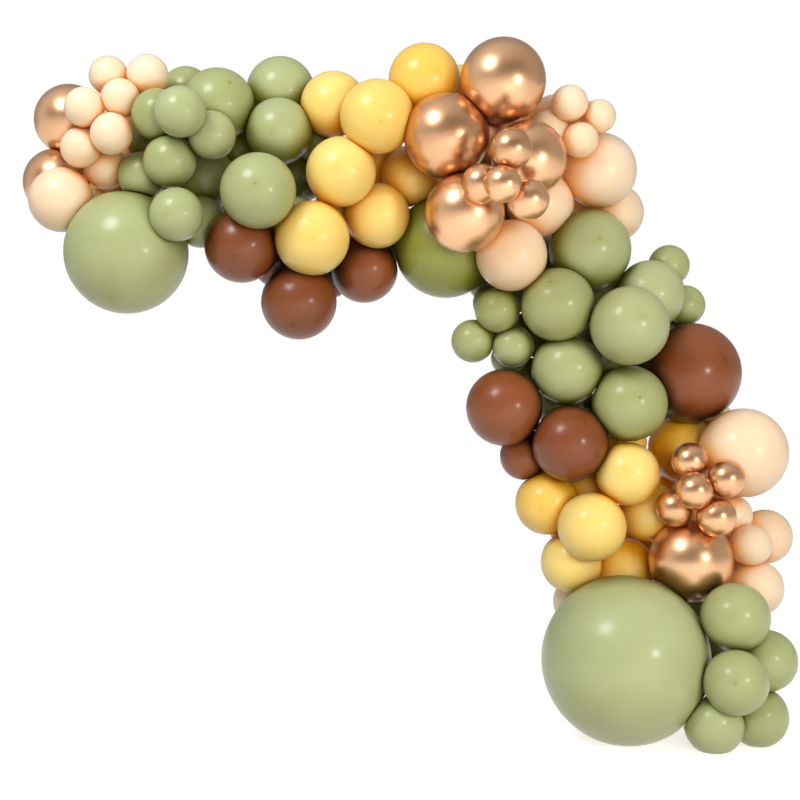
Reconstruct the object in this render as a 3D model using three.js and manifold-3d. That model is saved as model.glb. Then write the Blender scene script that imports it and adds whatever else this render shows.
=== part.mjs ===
// A half-arch balloon garland, as it is hung on a wall: latex balloons in sage green, peach, yellow and
// brown, with chrome gold ones among them, run along the top and down one side to a giant one on the floor.
// Millimetres. +Z is up, the wall is the plane y = 0, and the garland's front looks along -Y.
// The origin is the middle of the flat where a balloon near the bend presses on the wall.
import * as THREE from 'three';
import { mergeVertices } from 'three/addons/utils/BufferGeometryUtils.js';
import Module from 'manifold-3d';

const wasm = await Module();
wasm.setup();

// Blown-up diameters of the sizes of balloon that the garland is made from
const SMALL_DIAMETER = 108;
const MEDIUM_DIAMETER = 135;
const STANDARD_DIAMETER = 189;
const LARGE_DIAMETER = 243;
const EXTRA_DIAMETER = 270;
const JUMBO_DIAMETER = 324;
const GIANT_DIAMETER = 459;

// Pressed balloons' centres stay this share of their radii's sum apart,
// and two that are tied into one bunch are no further apart than the second share
const PRESS = 0.9;
const TIED = 0.925;
// A balloon's centre stands off the wall by this share of its radius
const WALL_PRESS = 0.95;
// The lowest balloon of the foot is pressed flat on the floor by this much
const FLOOR_PRESS = 11;
// Air between two solids that press on each other
const GAP = 0.3;

// Nets of facets for balls. Facets straddle the true ball, so corners stand out to this share of its radius.
const NETS = {
  coarse: { corners: 1.1, make: (radius) => new THREE.OctahedronGeometry(radius, 1) },
  plain: { corners: 1.025, make: (radius) => new THREE.IcosahedronGeometry(radius, 1) },
  fine: { corners: 1.013, make: (radius) => new THREE.IcosahedronGeometry(radius, 2) },
};

// The layout is drawn in steps. A balloon of each size measures so many steps across, which sets its scale.
const SIZES = {
  small: { diameter: SMALL_DIAMETER, steps: 40, net: NETS.coarse },
  medium: { diameter: MEDIUM_DIAMETER, steps: 50, net: NETS.coarse },
  standard: { diameter: STANDARD_DIAMETER, steps: 70, net: NETS.plain },
  hidden: { diameter: STANDARD_DIAMETER, steps: 70, net: NETS.coarse },
  large: { diameter: LARGE_DIAMETER, steps: 90, net: NETS.plain },
  extra: { diameter: EXTRA_DIAMETER, steps: 100, net: NETS.plain },
  jumbo: { diameter: JUMBO_DIAMETER, steps: 120, net: NETS.plain },
  giant: { diameter: GIANT_DIAMETER, steps: 170, net: NETS.fine },
};

const FINISHES = {
  sage: { color: 0xa9b77f, roughness: 0.35, metalness: 0 },
  brown: { color: 0x7a4a2e, roughness: 0.35, metalness: 0 },
  yellow: { color: 0xf2cd63, roughness: 0.35, metalness: 0 },
  peach: { color: 0xfbdcb4, roughness: 0.35, metalness: 0 },
  gold: { color: 0xc99a6a, roughness: 0.18, metalness: 1 },
};

// The layout is a front view as the eye sees it from this many steps in front of the wall, level with the
// point across and down, and it is true to scale this far out from the wall
const EYE = { across: 400, down: 400, away: 1480 };
const TRUE_OUT = 100;
// A filler is blown up no less than this share of the radius that its row asks for
const LEAST_FILL = 0.5;
// The balloon whose flat on the wall is the origin
const FIXING = 'sage_balloon_on_wall_fixing';

// A row is piece, colour, size, steps across, steps down, radius in steps, and how it is held.
// Rows are in the order in which the balloons are laid on the pile, wall first, and rows of one piece are
// tied into one bunch. Held is a number of steps that a balloon is kept out from the wall, or 'filler' for
// one that is pushed into the back of the pile afterwards.
const LAYOUT = [
  ['gold_balloon_left_upper', 'gold', 'standard', 71, 120.5, 35.5, 50],
  ['gold_balloon_left_lower', 'gold', 'standard', 58, 182.5, 33.5, 50],
  ['sage_pair_inside_left', 'sage', 'standard', 205, 180, 33, 60],
  ['sage_pair_inside_left', 'sage', 'medium', 201, 222, 26],
  ['sage_balloon_medium_top', 'sage', 'medium', 187, 92, 25, 60],
  ['sage_pair_top', 'sage', 'standard', 281, 91.5, 34.2, 60],
  ['sage_pair_inside_middle', 'sage', 'medium', 318, 140, 24, 50],
  ['sage_pair_inside_middle', 'sage', 'medium', 305, 177, 24],
  ['brown_balloon_left', 'brown', 'standard', 242, 246, 37],
  ['brown_balloon_lowest', 'brown', 'standard', 299.3, 302, 37.7, 95],
  ['brown_balloon_middle', 'brown', 'standard', 364.5, 269.5, 33.5, 60],
  ['yellow_pair_top_left', 'yellow', 'standard', 334, 105, 33, 60],
  ['yellow_balloon_top', 'yellow', 'standard', 424.5, 79.7, 35.6, 108],
  ['gold_balloon_top', 'gold', 'large', 503.3, 81, 42.7, 140],
  ['sage_balloon_under_bend', 'sage', 'extra', 446, 246, 52, 60],
  ['peach_pair_bend', 'peach', 'standard', 615, 213, 28.5, 40],
  ['sage_bunch_outside_bend', 'sage', 'standard', 650, 295, 34.5, 75],
  ['sage_bunch_outside_bend', 'sage', 'small', 668.8, 265.8, 20.5],
  ['sage_bunch_outside_bend', 'sage', 'small', 685, 305.5, 20],
  ['sage_bunch_inside_bend', 'sage', 'small', 497.6, 310.5, 22.6, 85],
  ['sage_bunch_inside_bend', 'sage', 'small', 513, 346.5, 21],
  ['sage_bunch_inside_bend', 'sage', 'small', 473, 341.2, 21.5],
  ['sage_bunch_inside_bend', 'sage', 'small', 493, 303, 20],
  ['sage_bunch_inside_bend', 'sage', 'small', 509, 358, 18],
  ['brown_bunch_column', 'brown', 'standard', 505, 407.5, 38.7, 80],
  ['brown_bunch_column', 'brown', 'medium', 524, 456, 24],
  ['brown_balloon_extra', 'brown', 'extra', 690.3, 373.2, 50.1, 60],
  ['peach_pair_bend', 'peach', 'standard', 599, 170.7, 37.4],
  ['sage_balloon_bend', 'sage', 'large', 589.7, 250, 41.2],
  ['peach_balloon_behind_giant', 'peach', 'medium', 578, 601, 25],
  ['yellow_balloon_column_right', 'yellow', 'standard', 682, 449.5, 34.3],
  ['peach_balloon_column_right', 'peach', 'large', 743, 453, 44.5],
  ['yellow_balloon_column_back', 'yellow', 'standard', 649, 511, 30.5, 60],
  ['yellow_balloon_column_left', 'yellow', 'standard', 546.6, 503.3, 31.3, 60],
  ['yellow_bunch_above_giant', 'yellow', 'standard', 571.8, 562, 31, 60],
  ['yellow_bunch_above_giant', 'yellow', 'standard', 624, 569, 32],
  ['gold_balloon_low', 'gold', 'large', 691, 560, 42],
  ['peach_bunch_low', 'peach', 'small', 750.4, 545.2, 20.8, 84],
  ['peach_bunch_low', 'peach', 'medium', 765, 536.5, 27],
  ['peach_bunch_low', 'peach', 'medium', 731, 516, 21.5],
  ['peach_bunch_low', 'peach', 'medium', 755.5, 588, 28],
  ['peach_balloon_left_end', 'peach', 'standard', 62, 200, 32.3],
  ['peach_bunch_left', 'peach', 'small', 112, 134, 21.3, 130],
  ['peach_bunch_left', 'peach', 'small', 121, 98.7, 19.7],
  ['peach_bunch_left', 'peach', 'small', 109, 76, 19.5],
  ['peach_bunch_left', 'peach', 'small', 148, 76, 21],
  ['peach_bunch_left', 'peach', 'small', 84.6, 107.5, 20],
  ['peach_bunch_left', 'peach', 'small', 81, 148, 20],
  ['peach_bunch_left', 'peach', 'small', 107, 168, 22],
  ['sage_balloon_jumbo', 'sage', 'jumbo', 127, 252.3, 61.5],
  ['sage_balloon_top_left', 'sage', 'standard', 218.5, 105, 36.3],
  ['sage_bunch_left', 'sage', 'medium', 212, 135.5, 24.3],
  ['sage_bunch_left', 'sage', 'medium', 180.6, 112, 25.7],
  ['sage_bunch_left', 'sage', 'medium', 158, 115, 26],
  ['sage_bunch_left', 'sage', 'medium', 143, 176, 24.6],
  ['sage_bunch_left', 'sage', 'medium', 170.5, 161.5, 26.5],
  ['sage_balloon_medium_front', 'sage', 'medium', 177, 214.7, 27],
  ['sage_pair_top', 'sage', 'standard', 279.5, 131.8, 33.3],
  ['sage_balloon_front', 'sage', 'standard', 258.5, 191, 38],
  ['yellow_pair_middle', 'yellow', 'standard', 377.5, 216, 32.6],
  ['yellow_pair_middle', 'yellow', 'standard', 412, 177, 31],
  ['yellow_pair_top_left', 'yellow', 'standard', 377.5, 117, 37.2],
  ['yellow_balloon_middle', 'yellow', 'standard', 341.4, 172, 35],
  ['yellow_balloon_front', 'yellow', 'standard', 312.4, 238.5, 37.5, 120],
  ['gold_balloon_front', 'gold', 'large', 446.7, 136, 42.9],
  ['peach_balloon_middle', 'peach', 'standard', 540.5, 204.5, 33.4],
  ['peach_bunch_top', 'peach', 'small', 554, 116.5, 21.5, 78],
  ['peach_bunch_top', 'peach', 'small', 550, 131, 20.5, 106],
  ['peach_bunch_top', 'peach', 'small', 580.6, 140.3, 18, 120],
  ['peach_bunch_top', 'peach', 'small', 569.8, 103.6, 18.4, 106],
  ['peach_bunch_top', 'peach', 'small', 599, 116.8, 17, 106],
  ['peach_balloon_lower', 'peach', 'standard', 511.6, 255.7, 35.7],
  ['gold_balloon_right', 'gold', 'standard', 529, 158.5, 37.6],
  ['gold_balloon_lower', 'gold', 'standard', 465, 213, 39.9],
  ['gold_bunch_top', 'gold', 'small', 503.2, 184, 19, 212],
  ['gold_bunch_top', 'gold', 'small', 528.5, 199.5, 21],
  ['gold_bunch_top', 'gold', 'small', 481.5, 184, 20],
  ['gold_bunch_top', 'gold', 'small', 511.6, 149, 21],
  ['sage_balloon_column_low', 'sage', 'standard', 629.5, 403.6, 37.9],
  ['sage_balloon_column_right', 'sage', 'standard', 629.6, 325.8, 39.6],
  ['sage_pair_column', 'sage', 'standard', 557.8, 304.8, 37],
  ['sage_pair_column', 'sage', 'standard', 567, 369, 35.5],
  ['brown_bunch_column', 'brown', 'standard', 570.3, 443.3, 38.4],
  ['yellow_balloon_column_front', 'yellow', 'standard', 627.8, 474, 31.8],
  ['yellow_bunch_above_giant', 'yellow', 'standard', 592, 527, 34.3],
  ['gold_bunch_low', 'gold', 'small', 694.6, 490.8, 19, 132],
  ['gold_bunch_low', 'gold', 'small', 690.3, 461, 18.4],
  ['gold_bunch_low', 'gold', 'small', 726.2, 479, 18.9],
  ['gold_bunch_low', 'gold', 'small', 716.4, 517, 20],
  ['gold_bunch_low', 'gold', 'small', 675, 508, 19.2],
  ['sage_bunch_foot', 'sage', 'standard', 758, 716.5, 30.3, 120],
  ['sage_bunch_foot', 'sage', 'standard', 714, 724.5, 30, 138],
  ['sage_bunch_foot', 'sage', 'standard', 766.4, 660.5, 30.7, 122],
  ['sage_bunch_foot', 'sage', 'standard', 736, 682.5, 32.6, 150],
  ['sage_bunch_foot', 'sage', 'standard', 735.2, 617.6, 34.8],
  ['sage_balloon_giant', 'sage', 'giant', 626, 659.5, 84.2],
  ['gold_filler_bend', 'gold', 'hidden', 488, 135, 36, 'filler'],
  ['peach_filler_left', 'peach', 'hidden', 98, 168, 30, 'filler'],
  ['sage_filler_left', 'sage', 'hidden', 160, 142, 32, 'filler'],
  ['sage_filler_top', 'sage', 'hidden', 243, 148, 32, 'filler'],
  ['yellow_filler_top', 'yellow', 'hidden', 374, 160, 32, 'filler'],
  ['sage_filler_middle', 'sage', 'hidden', 300, 215, 30, 'filler'],
  ['sage_balloon_on_wall_fixing', 'sage', 'hidden', 600, 290, 36, 'filler'],
  ['sage_filler_column', 'sage', 'hidden', 600, 355, 34, 'filler'],
  ['yellow_filler_column', 'yellow', 'hidden', 590, 490, 32, 'filler'],
];

// The layout's rows as records
function readLayout() {
  return LAYOUT.map(([piece, colour, size, across, down, radius, held = 0]) => {
    return { piece, colour, size, across, down, radius, held };
  });
}

// Where a balloon of the layout really is, in steps, when its centre is so far out from the wall:
// on the eye's line of sight, and smaller the nearer it is to the eye
function onSightLine(row, out, radius) {
  const scale = (EYE.away - out) / (EYE.away - TRUE_OUT);
  const x = EYE.across + (row.across - EYE.across) * scale;
  const z = -EYE.down - (row.down - EYE.down) * scale;
  return { centre: new THREE.Vector3(x, -out, z), radius: radius * scale };
}

// How close two balls are: 1 when they only touch, less when they press on each other
function closeness(a, b) {
  return a.centre.distanceTo(b.centre) / (a.radius + b.radius);
}

// How far out from the wall a balloon of this row is clear of the whole pile
function clearOfPile(row, pile) {
  return pile.reduce((out, ball) => Math.max(out, ball.radius - ball.centre.y + row.radius), row.held || 0);
}

// A balloon laid on the pile slides in from the front along its line of sight until it presses on those
// before it. One of a bunch then stops at the furthest place back where it is tied to the others.
function layOnPile(row, pile) {
  const mates = pile.filter((ball) => ball.row.piece === row.piece);
  const others = pile.filter((ball) => ball.row.piece !== row.piece);
  const least = Math.max(row.held, row.radius * WALL_PRESS);
  let last = onSightLine(row, least, row.radius);
  let tied = null;
  for (let out = Math.ceil(clearOfPile(row, pile)); out >= least; out -= 1) {
    const ball = onSightLine(row, out, row.radius);
    if (others.some((other) => closeness(ball, other) < PRESS)) break;
    last = ball;
    const clear = mates.every((mate) => closeness(ball, mate) > 2 * PRESS - TIED + 0.01);
    if (clear && mates.some((mate) => closeness(ball, mate) < TIED)) tied = ball;
  }
  return { row, ...(tied ?? last) };
}

// A filler goes in from the wall until it presses on those in front, blown up as far as there is room
function pushIntoBack(row, pile) {
  for (let fill = 1; fill >= LEAST_FILL; fill -= 0.02) {
    const radius = row.radius * fill;
    const fits = (out) => pile.every((other) => closeness(onSightLine(row, out, radius), other) >= PRESS);
    let out = radius * WALL_PRESS;
    if (!fits(out)) continue;
    const furthest = clearOfPile({ radius, held: 0 }, pile);
    while (out < furthest && fits(out + 1)) out += 1;
    return { row, ...onSightLine(row, out, radius) };
  }
  throw new Error(`no room behind the pile for ${row.piece}`);
}

// The whole pile in steps
function layGarland() {
  const pile = [];
  for (const row of readLayout()) {
    const lay = row.held === 'filler' ? pushIntoBack : layOnPile;
    pile.push(lay(row, pile));
  }
  return pile;
}

// A balloon of the pile blown up to its real size
function blownUp(laid, centre) {
  const size = SIZES[laid.row.size];
  const radius = laid.radius * (size.diameter / size.steps);
  centre.y = Math.min(centre.y, -radius * WALL_PRESS);
  return { row: laid.row, laid, size, centre, radius, corner: radius * size.net.corners };
}

// The pile blown up to real sizes, from the fixing at the origin on. The next balloon is always the one that
// presses most on one that is already there, mates of one bunch first. It keeps its direction from that one,
// and their distance grows with their two radii, so the garland stays tight whatever sizes are chosen.
function blowUp(pile) {
  const fixing = pile.find((laid) => laid.row.piece === FIXING);
  const first = blownUp(fixing, new THREE.Vector3());
  const balls = [first];
  const nearest = new Map();
  const pull = (laid, ball) => closeness(laid, ball.laid) - (laid.row.piece === ball.row.piece ? 1 : 0);
  const waiting = new Set(pile.filter((laid) => laid !== fixing));
  const offer = (ball) => {
    for (const laid of waiting) {
      const known = nearest.get(laid);
      if (!known || pull(laid, ball) < pull(laid, known)) nearest.set(laid, ball);
    }
  };
  offer(first);
  while (waiting.size > 0) {
    const next = [...waiting].reduce((a, b) => (pull(b, nearest.get(b)) < pull(a, nearest.get(a)) ? b : a));
    const partner = nearest.get(next);
    const size = SIZES[next.row.size];
    const grown = next.radius * (size.diameter / size.steps) + partner.radius;
    const apart = next.centre.clone().sub(partner.laid.centre);
    const centre = apart.multiplyScalar(grown / (next.radius + partner.laid.radius)).add(partner.centre);
    const ball = blownUp(next, centre);
    waiting.delete(next);
    balls.push(ball);
    offer(ball);
  }
  return pile.map((laid) => balls.find((ball) => ball.laid === laid));
}

// A closed three.js geometry as a solid, and back
function toSolid(geometry) {
  const bare = geometry.clone();
  bare.deleteAttribute('normal');
  bare.deleteAttribute('uv');
  const merged = mergeVertices(bare, 1e-4);
  const vertProperties = new Float32Array(merged.attributes.position.array);
  const triVerts = new Uint32Array(merged.index.array);
  return new wasm.Manifold(new wasm.Mesh({ numProp: 3, vertProperties, triVerts }));
}

function toGeometry(solid) {
  const { vertProperties, triVerts, numProp } = solid.getMesh();
  const geometry = new THREE.BufferGeometry();
  const points = new Float32Array((vertProperties.length / numProp) * 3);
  for (let i = 0; i < points.length / 3; i += 1) {
    points.set(vertProperties.subarray(i * numProp, i * numProp + 3), i * 3);
  }
  geometry.setAttribute('position', new THREE.BufferAttribute(points, 3));
  geometry.setIndex(new THREE.BufferAttribute(new Uint32Array(triVerts), 1));
  const faceted = geometry.toNonIndexed();
  faceted.computeVertexNormals();
  return faceted;
}

// A block with one face through a point, filling the side that the direction points to
function blockBeyond(point, direction, size) {
  const block = new THREE.BoxGeometry(size, size, size);
  block.translate(0, 0, size / 2);
  const turn = new THREE.Quaternion().setFromUnitVectors(new THREE.Vector3(0, 0, 1), direction);
  block.applyQuaternion(turn);
  block.translate(point.x, point.y, point.z);
  return toSolid(block);
}

// A balloon before it is pressed
function freeBall(ball) {
  const net = ball.size.net.make(ball.corner);
  return toSolid(net.translate(ball.centre.x, ball.centre.y, ball.centre.z));
}

// One blown-up balloon, flat where it presses on other pieces, on the wall and on the floor
function pressedBall(ball, balls, floor) {
  let solid = ball.free;
  const press = (direction, reach) => {
    const point = ball.centre.clone().addScaledVector(direction, reach);
    solid = solid.subtract(blockBeyond(point, direction, 3 * ball.corner));
  };
  for (const other of balls) {
    const apart = ball.centre.distanceTo(other.centre);
    if (other.row.piece === ball.row.piece || apart >= ball.corner + other.corner) continue;
    if (ball.free.intersect(other.free).isEmpty()) continue;
    const direction = other.centre.clone().sub(ball.centre).normalize();
    const reach = (apart ** 2 + ball.corner ** 2 - other.corner ** 2) / (2 * apart);
    press(direction, reach - GAP / 2);
  }
  if (-ball.centre.y < ball.corner) press(new THREE.Vector3(0, 1, 0), -ball.centre.y);
  if (ball.centre.z - floor < ball.corner) press(new THREE.Vector3(0, 0, -1), ball.centre.z - floor);
  return solid;
}

function makeGarland() {
  const balls = blowUp(layGarland());
  for (const ball of balls) ball.free = freeBall(ball);
  const floor = Math.min(...balls.map((ball) => ball.centre.z - ball.radius)) + FLOOR_PRESS;

  const garland = new THREE.Group();
  for (const piece of new Set(balls.map((ball) => ball.row.piece))) {
    const own = balls.filter((ball) => ball.row.piece === piece);
    const solid = own.map((ball) => pressedBall(ball, balls, floor)).reduce((a, b) => a.add(b));
    const { centre, row } = own[0];
    const geometry = toGeometry(solid).translate(-centre.x, -centre.y, -centre.z);
    const mesh = new THREE.Mesh(geometry, new THREE.MeshStandardMaterial(FINISHES[row.colour]));
    mesh.name = piece;
    mesh.position.copy(centre);
    garland.add(mesh);
  }
  return garland;
}

const garland = makeGarland();

export default garland;
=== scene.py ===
# %% [markdown]
# # A half-arch balloon garland
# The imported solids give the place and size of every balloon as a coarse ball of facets. This script
# recovers each ball from its facets, and dresses it as a real latex balloon: pear-shaped, pressed flat
# where it meets its neighbours, with a neck, a knot and a rolled rim, in satin or chrome latex.

# %% The frame
import math

import bpy
import numpy as np
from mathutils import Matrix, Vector


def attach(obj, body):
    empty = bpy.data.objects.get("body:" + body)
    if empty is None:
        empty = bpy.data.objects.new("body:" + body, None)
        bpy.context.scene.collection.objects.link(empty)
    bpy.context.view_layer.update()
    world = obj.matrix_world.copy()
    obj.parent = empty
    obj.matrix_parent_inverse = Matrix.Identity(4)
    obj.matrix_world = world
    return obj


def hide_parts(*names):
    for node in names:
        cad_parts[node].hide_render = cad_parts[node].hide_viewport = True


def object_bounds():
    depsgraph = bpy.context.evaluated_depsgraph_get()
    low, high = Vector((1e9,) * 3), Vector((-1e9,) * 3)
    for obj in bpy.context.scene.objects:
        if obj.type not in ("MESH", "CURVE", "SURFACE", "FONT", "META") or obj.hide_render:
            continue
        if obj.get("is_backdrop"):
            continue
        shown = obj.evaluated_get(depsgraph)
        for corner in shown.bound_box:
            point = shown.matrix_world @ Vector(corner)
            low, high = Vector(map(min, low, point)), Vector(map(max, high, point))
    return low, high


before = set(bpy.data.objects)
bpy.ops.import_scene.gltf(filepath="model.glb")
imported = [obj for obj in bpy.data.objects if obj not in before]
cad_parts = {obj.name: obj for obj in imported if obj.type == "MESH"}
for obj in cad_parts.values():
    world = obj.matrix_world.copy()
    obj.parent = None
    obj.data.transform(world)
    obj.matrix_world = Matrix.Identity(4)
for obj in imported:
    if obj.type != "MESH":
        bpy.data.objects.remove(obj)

solid_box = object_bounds()
print("solids from", tuple(solid_box[0]), "to", tuple(solid_box[1]))

# %% [markdown]
# ## Camera
# The photographer stood well back and level, with the camera at the height of the upper column. So the
# view is a plain one along +Y. The garland's true plane, where a metre is a metre, lies a hand's breadth
# in front of the wall, and the lens follows from how wide the picture is there.

# %% Camera
PICTURE_WIDTH = 2.160  # metres across the picture in the true plane
TRUE_PLANE_OUT = 0.270  # from the wall to the true plane
CAMERA_OUT = 3.996  # from the wall to the lens
CAMERA_X = -0.568
CAMERA_Z = -0.313

camera_data = bpy.data.cameras.new("camera")
camera_data.sensor_width = 36.0
camera_data.lens = camera_data.sensor_width * (CAMERA_OUT - TRUE_PLANE_OUT) / PICTURE_WIDTH
camera = bpy.data.objects.new("camera", camera_data)
camera.location = (CAMERA_X, -CAMERA_OUT, CAMERA_Z)
camera.rotation_euler = (math.radians(90), 0, 0)
bpy.context.scene.collection.objects.link(camera)
bpy.context.scene.camera = camera
bpy.context.scene.view_settings.view_transform = "Standard"
print("lens", round(camera_data.lens, 1), "mm")

# %% [markdown]
# ## Finding the balls
# Every solid is one or more balls of flat facets, cut where balloons press on each other. The corners
# that the cuts left alone still lie on a sphere. Two neighbouring facets fix one sphere through their
# four corners, and the right one is shared by many other corners, so the spheres are ranked by how many
# corners they hold. The centres could be typed in by hand, but these follow the solids when they change.

# %% Balls from facets
ON_SPHERE = 3e-5  # how near a corner lies to its sphere
NO_BALL_BELOW, NO_BALL_ABOVE = 0.03, 0.3  # radii that no balloon has
ONE_PLANE = 1e-9  # four corners that span less than this lie in a plane
SAME_SPHERE = 1e-3  # centres this near each other are finds of one sphere
SAME_BALL = 0.01  # and centres this near each other are one balloon
# A net's edges are longer than this share of the sphere's radius, and its corners stand out of the true
# balloon to this share of its radius, from the coarsest net to the finest
NETS = ((0.68, 1.1), (0.45, 1.025), (0.0, 1.013))


def sphere_through(points):
    """Centre and radius of the sphere through four points, or None if they lie in a plane."""
    rows = 2 * (points[1:] - points[0])
    sides = (points[1:] ** 2).sum(1) - (points[0] ** 2).sum()
    if abs(np.linalg.det(rows)) < ONE_PLANE:
        return None
    centre = np.linalg.solve(rows, sides)
    return centre, np.linalg.norm(points[0] - centre)


def facets_of(node):
    """Corners without doubles, and each edge with the two triangles that share it."""
    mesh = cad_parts[node].data
    mesh.calc_loop_triangles()
    places = np.array([v.co for v in mesh.vertices], float)
    corners, which = np.unique(np.round(places, 6), axis=0, return_inverse=True)
    which = which.reshape(-1)
    triangles = [tuple(which[i] for i in t.vertices) for t in mesh.loop_triangles]
    by_edge = {}
    for triangle in triangles:
        for k in range(3):
            edge = tuple(sorted((triangle[k], triangle[(k + 1) % 3])))
            by_edge.setdefault(edge, []).append(triangle)
    pairs = [(edge, both) for edge, both in by_edge.items() if len(both) == 2]
    return corners, pairs


def balls_in(node, count):
    """The count balls that the node's solid is made of, as centre and true radius."""
    corners, pairs = facets_of(node)
    found = []
    for edge, (one, other) in pairs:
        four = corners[sorted(set(one) | set(other))]
        sphere = sphere_through(four) if len(four) == 4 else None
        if sphere is None or not NO_BALL_BELOW < sphere[1] < NO_BALL_ABOVE:
            continue
        away = np.abs(np.linalg.norm(corners - sphere[0], axis=1) - sphere[1])
        held = int((away < ON_SPHERE).sum())
        length = np.linalg.norm(corners[edge[0]] - corners[edge[1]])
        found.append((held, *sphere, length / sphere[1]))
    found.sort(key=lambda ball: -ball[0])
    balls = []
    for _, centre, radius, _ in found:
        if len(balls) == count:
            break
        if any(np.linalg.norm(centre - known) < SAME_BALL for known, _ in balls):
            continue
        edges = [b[3] for b in found if np.linalg.norm(b[1] - centre) < SAME_SPHERE]
        share = next(out for edge, out in NETS if np.median(edges) > edge)
        balls.append((centre, radius / share))
    if len(balls) < count:
        raise RuntimeError(f"{node}: {len(balls)} balls of {count}")
    return balls


# %% Every balloon that the solids hold
# A pair holds two, a bunch as many as stand here, and any other solid is a single balloon
BUNCHES = {
    "brown_bunch_column": 3,
    "gold_bunch_low": 5,
    "gold_bunch_top": 4,
    "peach_bunch_left": 7,
    "peach_bunch_low": 4,
    "peach_bunch_top": 5,
    "sage_bunch_foot": 5,
    "sage_bunch_inside_bend": 5,
    "sage_bunch_left": 5,
    "sage_bunch_outside_bend": 3,
    "yellow_bunch_above_giant": 3,
}
balloons = []
for node in sorted(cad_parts):
    count = 2 if "_pair_" in node else BUNCHES.get(node, 1)
    for centre, radius in balls_in(node, count):
        balloons.append({"node": node, "colour": node.split("_")[0], "centre": centre, "radius": radius})
centres = np.array([b["centre"] for b in balloons])
radii = np.array([b["radius"] for b in balloons])
print(len(balloons), "balloons with radii from", round(radii.min(), 3), "to", round(radii.max(), 3), "m")

# %% [markdown]
# ## Balloons tucked inside
# A real garland is packed with more balloons than show. Where the front ones leave a gap, the camera looks
# through it at one more balloon and hardly ever at the wall. Each such balloon lies in the pocket behind the
# gap and presses on at least one of those round it. Its edge shows neither beside the garland nor in front
# of others. They could be placed by hand, but a rule finds every gap that the camera sees.

# %% Sight lines from the camera
RAY_STEP = 0.007  # between sight lines, at the wall
CHANNEL = 0.011  # a gap that opens to the outside by twice this much or less counts as closed
LEFT, RIGHT, LOW, HIGH = -2.1, 1.3, -1.8, 1.2  # of the wall that the camera sees, and a little more
LINES_AT_ONCE = 20000  # tried together, to spare memory
eye = np.array(camera.location)


def sight_lines(targets):
    """Unit directions from the camera to points."""
    lines = targets - eye
    return lines / np.linalg.norm(lines, axis=-1)[..., None]


def first_hit(lines, centres, radii):
    """How far along each sight line the first ball begins (infinity where none does)."""
    if len(lines) > LINES_AT_ONCE:
        parts = np.array_split(lines, len(lines) // LINES_AT_ONCE + 1)
        return np.concatenate([first_hit(part, centres, radii) for part in parts])
    to_balls = centres - eye
    along = lines @ to_balls.T
    beside = (to_balls**2).sum(1) - along**2
    inside = radii**2 - beside
    return np.where(inside > 0, along - np.sqrt(np.maximum(inside, 0)), np.inf).min(1)


def grown(region):
    """The region of the grid with its neighbours."""
    wider = region.copy()
    wider[1:] |= region[:-1]
    wider[:-1] |= region[1:]
    wider[:, 1:] |= region[:, :-1]
    wider[:, :-1] |= region[:, 1:]
    return wider


# %% Tell the gaps from the open wall outside
xs, zs = np.arange(LEFT, RIGHT, RAY_STEP), np.arange(LOW, HIGH, RAY_STEP)
grid = sight_lines(np.stack(np.meshgrid(xs, [0.0], zs, indexing="ij"), axis=-1)[:, 0])
lines = grid.reshape(-1, 3)
open_lines = np.isinf(first_hit(lines, centres, radii)).reshape(grid.shape[:2])
wide_open = np.isinf(first_hit(lines, centres, radii + CHANNEL)).reshape(grid.shape[:2])
outside = np.zeros_like(wide_open)
outside[0, 0] = True
reached = 0
while outside.sum() > reached:
    reached = outside.sum()
    outside = grown(outside) & wide_open
outside = grown(grown(grown(outside))) & open_lines
gaps = grid[open_lines & ~outside]
print(len(gaps), "sight lines look through gaps")

# %% Pockets behind the gaps
TUCKED_RADII = (0.06, 0.052, 0.044, 0.036, 0.029, 0.023, 0.018)  # that are tried in each pocket
TUCKED_PRESS = 1.12  # blown up by this much more, it presses on its neighbours
DEPTHS = np.arange(0.56, 0.02, -0.008)  # out from the wall, nearest the camera first
OUTLINE_POINTS = 18  # round a ball's edge as the camera sees it


def tucked_away(places, sizes):
    """For each of some balls, whether its edge shows nowhere but in gaps."""
    away = places - eye
    side = np.cross(away, [0, 0, 1.0])
    side /= np.linalg.norm(side, axis=1)[:, None]
    up = np.cross(side, away)
    up /= np.linalg.norm(up, axis=1)[:, None]
    turn = np.arange(OUTLINE_POINTS) * 2 * math.pi / OUTLINE_POINTS
    round_it = np.cos(turn)[:, None] * side[:, None] + np.sin(turn)[:, None] * up[:, None]
    rim = (places[:, None] + sizes[:, None, None] * round_it).reshape(-1, 3)
    hit = first_hit(sight_lines(rim), centres, radii)
    at_wall = eye + (rim - eye) * (eye[1] / (eye[1] - rim[:, 1:2]))
    column = np.round((at_wall[:, 0] - LEFT) / RAY_STEP).astype(int)
    row = np.round((at_wall[:, 2] - LOW) / RAY_STEP).astype(int)
    hidden = hit < np.repeat(np.linalg.norm(away, axis=1), OUTLINE_POINTS)
    hidden |= np.isinf(hit) & ~outside[column, row]
    return hidden.reshape(-1, OUTLINE_POINTS).all(1)


def pockets(places, room):
    """The first place along each sight line, past a throat, where a ball of each radius fits."""
    found, sizes = [], []
    for radius in TUCKED_RADII:
        past = np.logical_or.accumulate(room < radius, axis=1) & (room >= radius)
        lines = np.flatnonzero(past.any(1))
        found.append(places[lines, past[lines].argmax(1)])
        sizes.append(np.full(len(lines), radius * TUCKED_PRESS))
    return np.concatenate(found), np.concatenate(sizes)


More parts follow.
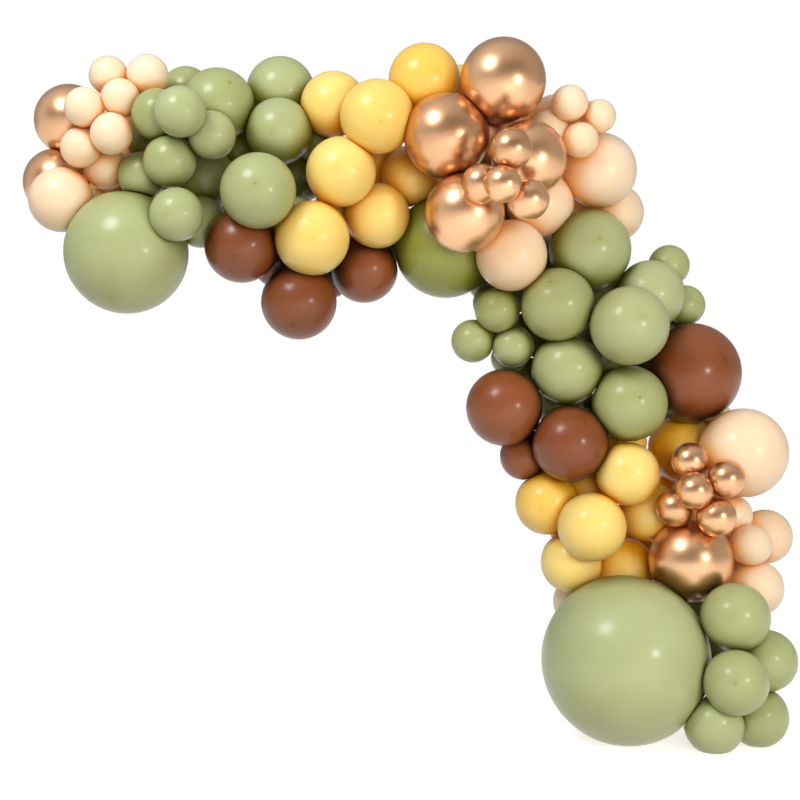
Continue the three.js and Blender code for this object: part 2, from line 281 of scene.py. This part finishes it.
# %% Tuck balloons in, the one that closes most of the gaps first
NEIGHBOURS_ASKED = 3  # for the colour that is the commonest round it
reach = (eye[1] + DEPTHS) / -gaps[:, 1:2]
places = eye + gaps[:, None] * reach[..., None]
room = -places[..., 1]
for centre, radius in zip(centres, radii):
    room = np.minimum(room, np.linalg.norm(places - centre, axis=2) - radius)
while len(gaps):
    tried, sizes = pockets(places, room)
    good = tucked_away(tried, sizes) if len(tried) else np.zeros(0, bool)
    if not good.any():
        break
    tried, sizes = tried[good], sizes[good]
    to_balls = tried - eye
    beside = (to_balls**2).sum(1) - (gaps @ to_balls.T) ** 2
    best = int(((beside < sizes**2).sum(0) + sizes).argmax())
    centre, radius = tried[best], sizes[best]
    near = np.argsort(np.linalg.norm(centres - centre, axis=1) - radii)
    round_it = [balloons[k]["colour"] for k in near if balloons[k]["colour"] != "gold"][:NEIGHBOURS_ASKED]
    colour = max(round_it, key=round_it.count)
    balloons.append({"node": None, "colour": colour, "centre": centre, "radius": radius})
    centres = np.vstack([centres, centre])
    radii = np.append(radii, radius)
    still_open = beside[:, best] >= radius**2
    gaps, places, room = gaps[still_open], places[still_open], room[still_open]
    room = np.minimum(room, np.linalg.norm(places - centre, axis=2) - radius)
print(sum(b["node"] is None for b in balloons), "balloons tucked in;", len(gaps), "sight lines still open")

# %% [markdown]
# ## Which way a balloon lies
# A balloon is tied on by its neck, so the neck points into the pile and the crown, opposite it, out.
# Necks are tucked into the gaps between neighbours. Of many directions spread over a sphere, the best
# one points towards the neighbours' middle and ends where there is room. Turned at random instead, half
# of the knots would stick out at the front, where the photograph shows very few.

# %% Necks into the gaps
NECK_REACH = 1.16  # how far from its centre a balloon's knot is, in radii
KNOT_LENGTH = 0.01  # from there to the end of the tail, about
DIRECTIONS = 600
NEAR = 1.5  # neighbours are near up to this many of both radii
WALLWARD = 0.8  # how strongly a neck leans to the wall, against 1 for the neighbours
TIED_WALLWARD = 0.5  # and in a bunch
ROOM_ENOUGH = 0.015  # a knot with this much room lies well
ROOM_COUNTS = 0.9  # what that room is worth, against 1 for the right way


def spread_directions(count):
    """Directions spread evenly over a sphere, on a spiral."""
    steps = np.arange(count) + 0.5
    down = 1 - 2 * steps / count
    turn = math.pi * (1 + math.sqrt(5)) * steps
    flat = np.sqrt(1 - down**2)
    return np.stack([flat * np.cos(turn), flat * np.sin(turn), down], axis=1)


def neck_direction(i):
    """The way that balloon i's neck points."""
    centre, radius = centres[i], radii[i]
    apart = np.linalg.norm(centres - centre, axis=1)
    near = (apart < NEAR * (radius + radii)) & (apart > 0)
    inward = (centres[near] - centre).mean(0) / radius + np.array([0, WALLWARD, 0])
    mates = [k for k, b in enumerate(balloons) if b["node"] == balloons[i]["node"] and k != i]
    if mates and balloons[i]["node"]:
        inward = (centres[mates].mean(0) - centre) / radius + np.array([0, TIED_WALLWARD, 0])
    inward /= np.linalg.norm(inward)
    tips = centre + directions * (NECK_REACH * radius + KNOT_LENGTH)
    room = np.linalg.norm(tips[:, None] - centres[None], axis=2) - radii
    room[:, i] = 1
    spare = np.minimum(room.min(1), -tips[:, 1])
    score = directions @ inward + ROOM_COUNTS * np.minimum(spare, ROOM_ENOUGH) / ROOM_ENOUGH
    return directions[int(score.argmax())]


directions = spread_directions(DIRECTIONS)
for i, balloon in enumerate(balloons):
    balloon["neck"] = neck_direction(i)
print("necks point", sum(b["neck"][1] > 0.3 for b in balloons), "times towards the wall")

# %% [markdown]
# ## The shape of one balloon
# Blown latex is a sphere at its crown and draws in to the neck like a pear. The half outline is a curve
# of rings from the crown to the rolled rim behind the knot: an arc, a smooth bend into the neck, a bulge
# for the knot and a little flared tail. Turning it round the neck's axis gives a closed skin. It could
# be modelled by inflating a cloth, but a hundred balloons are lighter and cleaner as turned shapes.

# %% Outline of a balloon
PEAR_FROM = 0.45  # the outline leaves the sphere this far behind the middle, in radii
LEAVE, ARRIVE = 0.95, (0.16, -0.05)  # how the bend leaves the sphere and comes to the knot, in radii
# The knot and the rolled rim, behind the end of the neck and out from its axis, in radii of the neck
KNOT = np.array([[0.5, 0.5], [1.3, 1.0], [2.3, 0.6], [2.8, 0.1]])
TAIL = np.array([[4.2, 0.5], [5.6, 1.1], [6.1, 1.25], [6.3, 1.0], [6.0, 0.7], [5.2, 0.4]])
BODY_SHARE = 0.9  # the share of the way from crown to rim that the bend ends at
NECK_LEAST, NECK_GROWS = 0.0028, 0.016  # real necks grow slowly with the balloon's radius


def outline(radius, rings):
    """Rings from crown to rim: how far along the neck's axis, how wide, and the share of the way."""
    last = math.acos(-PEAR_FROM)
    angles = np.linspace(0, last, rings)
    along, wide = -np.cos(angles) * radius, np.sin(angles) * radius
    start = np.array([along[-1], wide[-1]])
    tie = NECK_LEAST + NECK_GROWS * radius
    end = np.array([NECK_REACH * radius, tie])
    leave = np.array([math.sin(last), math.cos(last)]) * radius * LEAVE
    arrive = np.array(ARRIVE) * radius
    t = np.linspace(0, 1, rings // 2)[1:, None]
    bend = (
        (2 * t**3 - 3 * t**2 + 1) * start
        + (t**3 - 2 * t**2 + t) * leave
        + (3 * t**2 - 2 * t**3) * end
        + (t**3 - t**2) * arrive
    )
    body = np.concatenate([np.stack([along, wide], axis=1), bend])
    rows = np.concatenate([body, end + tie * KNOT, end + tie * TAIL])
    share = np.ones(len(rows))
    share[: len(body)] = np.linspace(0, BODY_SHARE, len(body))
    return rows, share


# %% Turn the outline round the neck's axis
FEWEST_SEGMENTS, MOST_SEGMENTS = 40, 96
SEGMENTS_FROM = 0.05  # up to this radius a balloon has the fewest segments
SEGMENTS_PER_METRE = 260  # and above it as many more
ASKEW = (0.31, 0.9, 0.3)  # a direction that no neck has, to measure the turn from


def turned(radius, neck):
    """Points, faces and each point's share of the way from the crown, for a balloon at the origin."""
    more = SEGMENTS_PER_METRE * (radius - SEGMENTS_FROM)
    segments = int(np.clip(FEWEST_SEGMENTS + more, FEWEST_SEGMENTS, MOST_SEGMENTS))
    rows, share = outline(radius, segments // 2)
    rows, ring_share = rows[1:], share[1:]
    side = np.cross(neck, ASKEW)
    side /= np.linalg.norm(side)
    other = np.cross(neck, side)
    turn = np.arange(segments) * 2 * math.pi / segments
    spoke = np.cos(turn)[:, None] * side + np.sin(turn)[:, None] * other
    points = (rows[:, None, 0, None] * neck + rows[:, None, 1, None] * spoke[None]).reshape(-1, 3)
    shares = np.repeat(ring_share, segments)
    crown, inside = len(points), len(points) + 1
    points = np.concatenate([points, [-neck * radius], [rows[-1, 0] * neck]])
    shares = np.concatenate([shares, [0, 1]])
    faces = []
    for ring in range(len(rows) - 1):
        for k in range(segments):
            nxt = (k + 1) % segments
            low, high = ring * segments, (ring + 1) * segments
            faces.append((low + k, low + nxt, high + nxt, high + k))
    end = (len(rows) - 1) * segments
    for k in range(segments):
        nxt = (k + 1) % segments
        faces.append((crown, nxt, k))
        faces.append((inside, end + k, end + nxt))
    return points, faces, shares


# %% [markdown]
# ## Pressed flat
# Where two balloons press on each other the latex meets on a flat, which is the plane through the circle
# that the two spheres share. Each point that lies past such a plane is drawn back on it. A soft minimum
# rounds the edge of the flat, as air pressure does, and never lets the point pass. A cloth simulation
# under pressure would do the same for a few balloons, but takes far too long for a hundred.

# %% Contacts
AIR = 0.0003  # between two skins
SOFT = 0.012  # how rounded a flat's edge is, in radii
EDGE_REACH = 8  # how far from a flat its rounded edge is felt, in such soft widths
IN_TOUCH = 1.05  # planes further off than this many radii press on nothing
NECK_SPAN = 1.6  # and balloons further off than this can't meet the neck
BODY_SPAN = 1.001  # points further out than this belong to the pear's end and the neck
floor_height = solid_box[0].z
print("floor at", round(floor_height, 4), "m")


def drawn_back(points, direction, reach, soft):
    """Points behind the plane at that reach along the direction, with a rounded edge."""
    depth = points @ direction
    kept = reach - soft * np.logaddexp(0, (reach - depth) / soft)
    kept = np.where(depth < reach - EDGE_REACH * soft, depth, kept)
    return points + (kept - depth)[:, None] * direction


def pressed(points, i):
    """A balloon's points, flat on its neighbours, the wall and the floor."""
    centre, radius = centres[i], radii[i]
    soft = SOFT * radius
    wall = (np.array([0, 1.0, 0]), -centre[1] - AIR)
    ground = (np.array([0, 0, -1.0]), centre[2] - floor_height)
    flats = [wall, ground]
    apart = np.linalg.norm(centres - centre, axis=1)
    for k in np.flatnonzero((apart < radius + radii) & (apart > 0)):
        reach = (apart[k] ** 2 + radius**2 - radii[k] ** 2) / (2 * apart[k])
        flats.append(((centres[k] - centre) / apart[k], reach - AIR / 2))
    for direction, reach in flats:
        if reach < IN_TOUCH * radius:
            points = drawn_back(points, direction, reach, soft)
    for k in np.flatnonzero((apart < NECK_SPAN * radius + radii) & (apart > 0)):
        offset = points + centre - centres[k]
        away = np.linalg.norm(offset, axis=1)
        inside = away < radii[k] + AIR
        beyond = np.linalg.norm(points, axis=1) > radius * BODY_SPAN
        push = inside & beyond
        points[push] = offset[push] / away[push, None] * (radii[k] + AIR) + centres[k] - centre
    points[:, 1] = np.minimum(points[:, 1], -AIR - centre[1])
    return points + centre


# %% [markdown]
# ## Writing materials
# A small class wraps the output of a shader node. Arithmetic on it adds Math nodes, so a pattern reads
# as a formula. Colours are mixed by a Mix node with the pattern as its factor. The nodes could be joined
# by hand in the shader editor, but a formula is shorter to read and to change.

# %% Shader helper
class Field:
    """A value that changes over a surface. Arithmetic on it adds nodes to its material."""

    def __init__(self, nodes, socket):
        self.nodes = nodes
        self.socket = socket

    def math(self, operation, *values):
        return self.nodes.node("ShaderNodeMath", {"operation": operation}, dict(enumerate(values)))

    def __add__(self, other):
        return self.math("ADD", self, other)

    def __sub__(self, other):
        return self.math("SUBTRACT", self, other)

    def __rsub__(self, other):
        return self.math("SUBTRACT", other, self)

    def __mul__(self, other):
        return self.math("MULTIPLY", self, other)

    __radd__ = __add__
    __rmul__ = __mul__

    def step(self, start, end):
        """0 before start, 1 after end, and smooth between them."""
        settings = {"interpolation_type": "SMOOTHSTEP"}
        inputs = {"Value": self, "From Min": start, "From Max": end}
        return self.nodes.node("ShaderNodeMapRange", settings, inputs)

    def mix(self, none, full):
        """The colour none where this is 0, and full where it is 1."""
        settings = {"data_type": "RGBA", "clamp_factor": True}
        return self.nodes.node("ShaderNodeMix", settings, {0: self, 6: none, 7: full}, 2)


# %% Nodes of a material or of the world
class Nodes:
    """The nodes of a material or of the world."""

    def __init__(self, owner):
        owner.use_nodes = True
        self.tree = owner.node_tree

    def node(self, kind, settings, inputs, output=0):
        made = self.tree.nodes.new(kind)
        for key, value in settings.items():
            setattr(made, key, value)
        for key, value in inputs.items():
            self.set(made.inputs[key], value)
        return Field(self, made.outputs[output])

    def set(self, socket, value):
        if isinstance(value, Field):
            self.tree.links.new(value.socket, socket)
        elif isinstance(value, tuple) and len(value) == 3 and socket.type == "RGBA":
            socket.default_value = (*value, 1)
        else:
            socket.default_value = value


# %% A material in the making
class Paint(Nodes):
    """A material in the making."""

    def __init__(self, name, **constants):
        self.material = bpy.data.materials.new(name)
        super().__init__(self.material)
        self.shader = self.tree.nodes["Principled BSDF"]
        for socket, value in constants.items():
            self.shader.inputs[socket.replace("_", " ")].default_value = value

    def attribute(self, name):
        return self.node("ShaderNodeAttribute", {"attribute_name": name}, {}, 2)

    def noise(self, scale, detail, roughness):
        place = self.node("ShaderNodeTexCoord", {}, {}, 3)
        inputs = {"Vector": place, "Scale": scale, "Detail": detail, "Roughness": roughness}
        return self.node("ShaderNodeTexNoise", {}, inputs, 0)

    def bump(self, height, strength, distance):
        inputs = {"Height": height, "Strength": strength, "Distance": distance}
        return self.node("ShaderNodeBump", {}, inputs, 0)


def linear(red, green, blue):
    """A colour as the eye reads it on a screen, 0 to 255, in the shader's own numbers."""
    share = [value / 255 for value in (red, green, blue)]
    return tuple(v / 12.92 if v <= 0.04045 else ((v + 0.055) / 1.055) ** 2.4 for v in share)


# %% [markdown]
# ## Latex
# Plain latex is dyed through and stretched thin, so it is a little translucent: light soaks in and comes
# out again further on, which lifts the shadows. Where balloons crowd, the colour is turned darker and deeper
# by painted shade, set by how much of each point's view other balloons fill. The skin is thicker at the
# crown, which shows as a small darker spot, and deepens in colour towards the neck. A powdery satin gloss and
# slight clouds of thickness break up the surface. Both come from noise in the shader and not from a picture
# wrapped round the balloon, which would pinch at the crown.

# %% Plain latex
# For each dye: where the latex is stretched thin, where it is thick, the painted shade where balloons crowd,
# and how much light soaks in
LATEX = {
    "sage": (linear(180, 186, 136), linear(136, 140, 48), linear(100, 102, 18), 0.15),
    "brown": (linear(145, 77, 36), linear(94, 42, 9), linear(46, 16, 2), 0.1),
    "yellow": (linear(253, 222, 136), linear(242, 184, 40), linear(224, 158, 16), 0.6),
    "peach": (linear(255, 221, 194), linear(253, 198, 140), linear(247, 182, 110), 0.8),
}
SOAK_DEPTH = 0.08  # how deep the light goes, in metres, for a soak of 1


def latex(name, light, deep, shade, soak):
    """Satin, slightly translucent dyed latex."""
    paint = Paint(
        name,
        Subsurface_Weight=soak,
        Subsurface_Radius=(1.0, 0.8, 0.45),
        Subsurface_Scale=soak * SOAK_DEPTH,
        IOR=1.5,
        Specular_IOR_Level=0.25,
        Coat_Roughness=0.22,
    )
    way = paint.attribute("way")
    tone = paint.attribute("tone")
    clouds = paint.noise(11.0, 3.0, 0.55)
    powder = paint.noise(420.0, 3.0, 0.6)
    crown = (1 - way.step(0.007, 0.017)) * tone.step(-0.7, 0.6)
    halo = 1 - way.step(0.01, 0.09)
    towards_neck = way.step(0.55, 0.93)
    # The tone is each balloon's own random tone, plus painted shade for the few pieces that sit in shade
    depth = 0.22 + tone * 0.16 + clouds.step(0.35, 0.68) * 0.1
    depth = depth + crown * 0.5 + halo * 0.12 + towards_neck * 0.75
    # Painted shade: where other balloons fill much of a point's view, the colour turns to the dye's shade
    # colour
    painted_crowd_shade = paint.attribute("crowd_shade").step(0.35, 1.3)
    paint.set(paint.shader.inputs["Base Color"], painted_crowd_shade.mix(depth.mix(light, deep), shade))
    paint.set(paint.shader.inputs["Roughness"], 0.38 + powder.step(0.3, 0.75) * 0.12 + clouds * 0.06)
    paint.set(paint.shader.inputs["Coat Weight"], 0.5 - powder.step(0.45, 0.8) * 0.2)
    paint.set(paint.shader.inputs["Normal"], paint.bump(powder + clouds * 2.0, 0.06, 0.0006))
    return paint.material


finishes = {colour: latex(f"{colour}_latex", *shades) for colour, shades in LATEX.items()}
print("latex in", ", ".join(finishes))

# %% [markdown]
# ## Chrome latex
# Chrome balloons are latex filled with metal flake and then blown tight, so they mirror the room in a
# warm rosy gold. The mirror is not perfect: it is faintly rippled, and duller at the neck. A bare metallic
# shader would look like polished brass, so ripples and flakes are added to it.

# %% Chrome latex
CHROME = (linear(234, 188, 146), linear(196, 142, 98))  # stretched thin, and thick


def chrome(name, light, deep):
    """Metallic latex, mirror-bright."""
    paint = Paint(name, Metallic=1.0, Coat_Weight=0.15, Coat_Roughness=0.12)
    way = paint.attribute("way")
    tone = paint.attribute("tone")
    ripples = paint.noise(26.0, 2.0, 0.5)
    flakes = paint.noise(700.0, 2.0, 0.6)
    crown = 1 - way.step(0.007, 0.017)
    depth = 0.3 + tone * 0.2 + crown * 0.25 + way.step(0.6, 0.95) * 0.5 + flakes.step(0.4, 0.75) * 0.12
    roughness = 0.3 + way.step(0.7, 1.0) * 0.15 + flakes.step(0.3, 0.8) * 0.06
    paint.set(paint.shader.inputs["Base Color"], depth.mix(light, deep))
    paint.set(paint.shader.inputs["Roughness"], roughness)
    paint.set(paint.shader.inputs["Normal"], paint.bump(ripples, 0.12, 0.004))
    return paint.material


finishes["gold"] = chrome("gold_chrome_latex", *CHROME)
print("finishes:", ", ".join(finishes))

# %% [markdown]
# ## Blowing them all up
# Each solid of the frame is replaced by one piece, which holds as many skins as the bunch has balloons.
# Every balloon gets a tone of its own, because no two are blown quite alike. A few pieces that sit in shade
# get a deeper tone on top, which darkens and deepens their colour: painted shade. The way from crown to neck,
# the tone and how much other balloons crowd round are kept on the mesh, where the finishes read them; the
# latex turns the crowding into painted shade. They could be painted on by hand, but a rule gives them to a
# hundred balloons at once.

# %% Tones
# Painted shade: pieces that sit in shade, with how much deeper their tone is made for it
DEEPER_IN_SHADE = {
    "brown_balloon_lowest": 0.6,
    "sage_balloon_medium_top": 1.6,
    "sage_balloon_top_left": 1.2,
    "sage_balloon_under_bend": 3.2,
    "sage_bunch_inside_bend": 0.8,
    "yellow_balloon_column_left": 1.0,
    "yellow_balloon_column_right": 2.2,
    "yellow_balloon_top": 1.8,
}
tones = np.random.default_rng(7)
for balloon in balloons:
    balloon["tone"] = tones.uniform(-1, 1) + DEEPER_IN_SHADE.get(balloon["node"], 0)
# The count printed below is of the pieces given painted shade
print(len(DEEPER_IN_SHADE), "pieces are blown less tight")

# %% How other balloons crowd round, for the painted shade
CROWD_REACH = 2.5  # balloons further off than this many of both radii don't count


def crowded(points, i):
    """How much of what each point of balloon i faces is other balloons."""
    normals = points - centres[i]
    normals /= np.linalg.norm(normals, axis=1)[:, None]
    total = np.zeros(len(points))
    apart = np.linalg.norm(centres - centres[i], axis=1)
    for j in np.flatnonzero((apart < CROWD_REACH * (radii + radii[i])) & (apart > 0)):
        towards = centres[j] - points
        far = np.maximum(np.linalg.norm(towards, axis=1), radii[j])
        total += np.maximum((normals * towards).sum(1) / far, 0) * (radii[j] / far) ** 2
    return total


# %% Make a piece
def skin(name, members):
    """The balloons with these numbers as one piece."""
    points, faces, ways, shades, crowd_shades = [], [], [], [], []
    for i in members:
        own, own_faces, own_ways = turned(radii[i], balloons[i]["neck"])
        start = sum(len(p) for p in points)
        points.append(pressed(own, i))
        # How much other balloons crowd round each point, which the latex turns into painted shade
        crowd_shades.append(crowded(points[-1], i))
        faces += [tuple(start + k for k in face) for face in own_faces]
        ways.append(own_ways)
        shades.append(np.full(len(own), balloons[i]["tone"]))
    mesh = bpy.data.meshes.new(name)
    mesh.from_pydata(np.concatenate(points).tolist(), [], faces)
    for attribute, values in (("crowd_shade", crowd_shades), ("way", ways), ("tone", shades)):
        kept = mesh.attributes.new(attribute, "FLOAT", "POINT")
        kept.data.foreach_set("value", np.concatenate(values))
    mesh.shade_smooth()
    colour = balloons[members[0]]["colour"]
    mesh.materials.append(finishes[colour])
    piece = bpy.data.objects.new(name, mesh)
    bpy.context.scene.collection.objects.link(piece)
    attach(piece, "root")
    return piece


# %% Dress every solid
pieces = []
for node in sorted(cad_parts):
    piece = skin(f"skin_{node}", [k for k, b in enumerate(balloons) if b["node"] == node])
    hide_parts(node)
    pieces.append(piece)
for colour in LATEX:
    tucked = [k for k, b in enumerate(balloons) if b["node"] is None and b["colour"] == colour]
    if tucked:
        pieces.append(skin(f"{colour}_balloons_tucked_inside", tucked))
triangles = sum(len(p.vertices) - 2 for piece in pieces for p in piece.data.polygons)
print(len(pieces), "pieces,", triangles, "triangles")

# %% [markdown]
# ## Floor
# The room is white. A pale floor that glows a little stays white to the horizon and still takes the soft
# contact shadow under the giant balloon. A white backdrop that curves up would do as well, but it would
# hide the garland from behind.

# %% Floor
FLOOR_WIDTH = 60.0
FLOOR_GLOW = 0.69


def floor_finish():
    paint = Paint("pale_floor", Base_Color=(0.9, 0.9, 0.9, 1), Roughness=0.8)
    paint.shader.inputs["Emission Color"].default_value = (1, 0.97, 0.92, 1)
    paint.shader.inputs["Emission Strength"].default_value = FLOOR_GLOW
    return paint.material


half = FLOOR_WIDTH / 2
floor_mesh = bpy.data.meshes.new("floor")
floor_plan = ((-half, -half), (half, -half), (half, half), (-half, half))
floor_mesh.from_pydata([(x, y, floor_height) for x, y in floor_plan], [], [(0, 1, 2, 3)])
floor_mesh.materials.append(floor_finish())
floor = bpy.data.objects.new("floor", floor_mesh)
bpy.context.scene.collection.objects.link(floor)
floor.visible_diffuse = False
floor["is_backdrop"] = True

# %% [markdown]
# ## Lights
# A large soft light hangs high at the left, and a small one stands at the right. Both show as spots on the
# skins, as in a studio. A still larger one in front fills the shadows. It isn't mirrored, because the
# photograph shows no such spot.

# %% Lights
GARLAND_MIDDLE = (Vector(solid_box[0]) + Vector(solid_box[1])) / 2


def soft_light(name, towards, distance, size, power, colour, mirrored=True):
    """A round soft light in a direction from the garland's middle that faces it, mirrored in gloss or not."""
    data = bpy.data.lights.new(name, "AREA")
    data.shape = "DISK"
    data.size = size
    data.energy = power
    data.color = colour
    light = bpy.data.objects.new(name, data)
    away = Vector(towards).normalized()
    light.location = GARLAND_MIDDLE + away * distance
    light.rotation_euler = away.to_track_quat("Z", "Y").to_euler()
    light.visible_glossy = mirrored
    bpy.context.scene.collection.objects.link(light)
    print(name, "light at", tuple(round(v, 2) for v in light.location))


soft_light("high_left", (-0.45, -0.55, 0.72), 3.8, 1.35, 66, (0.93, 0.97, 1.0))
soft_light("right", (0.62, -0.78, 0.08), 3.8, 0.42, 26, (1.0, 0.98, 0.95))
soft_light("front", (0.25, -1.0, 0.05), 5.0, 2.6, 122, (1.0, 0.99, 0.97), mirrored=False)

# %% [markdown]
# ## Surroundings
# The camera sees plain white. What the balloons mirror is a room of its own: pale sides, a greyer wall and
# a dark band in front, which gives the chrome its contrast. A third set of greys, darker behind, lights
# the dull skins. The kind of ray picks one of the three.

# %% Surroundings
def surroundings():
    """White for the camera, a room with a dark front for gloss, and soft greys for dull skins."""
    world = bpy.data.worlds.new("white_room")
    room = Nodes(world)
    direction = room.node("ShaderNodeTexCoord", {}, {}, 0)
    x = room.node("ShaderNodeSeparateXYZ", {}, {"Vector": direction}, 0)
    y = room.node("ShaderNodeSeparateXYZ", {}, {"Vector": direction}, 1)
    z = room.node("ShaderNodeSeparateXYZ", {}, {"Vector": direction}, 2)
    front = (1 - y.step(-0.8, -0.1)) * z.step(-0.1, 0.1) * (1 - z.step(0.5, 0.85))
    sides = x.step(-0.3, 0.9).mix((0.85, 0.86, 0.9), (0.55, 0.52, 0.48))
    with_wall = y.step(-0.1, 0.7).mix(sides, (0.4, 0.39, 0.38))
    mirrored = front.mix(with_wall, (0.26, 0.23, 0.2))
    below_and_above = z.step(-0.5, 0.4).mix((0.4, 0.37, 0.3), (0.46, 0.48, 0.52))
    shining = y.step(-0.4, 0.5).mix(below_and_above, (0.26, 0.26, 0.26))
    gloss = room.node("ShaderNodeLightPath", {}, {}, 3)
    seen = room.node("ShaderNodeLightPath", {}, {}, 0)
    glow = seen.mix(gloss.mix(shining, mirrored), (1.0, 1.0, 1.0))
    room.set(room.tree.nodes["Background"].inputs["Color"], glow)
    return world


bpy.context.scene.world = surroundings()
print("surroundings:", bpy.context.scene.world.name)

# %% Sizes and the end
dressed_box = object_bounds()
sizes = {"solids": [list(corner) for corner in solid_box], "dressed": [list(corner) for corner in dressed_box]}
print("dressed from", tuple(dressed_box[0]), "to", tuple(dressed_box[1]))
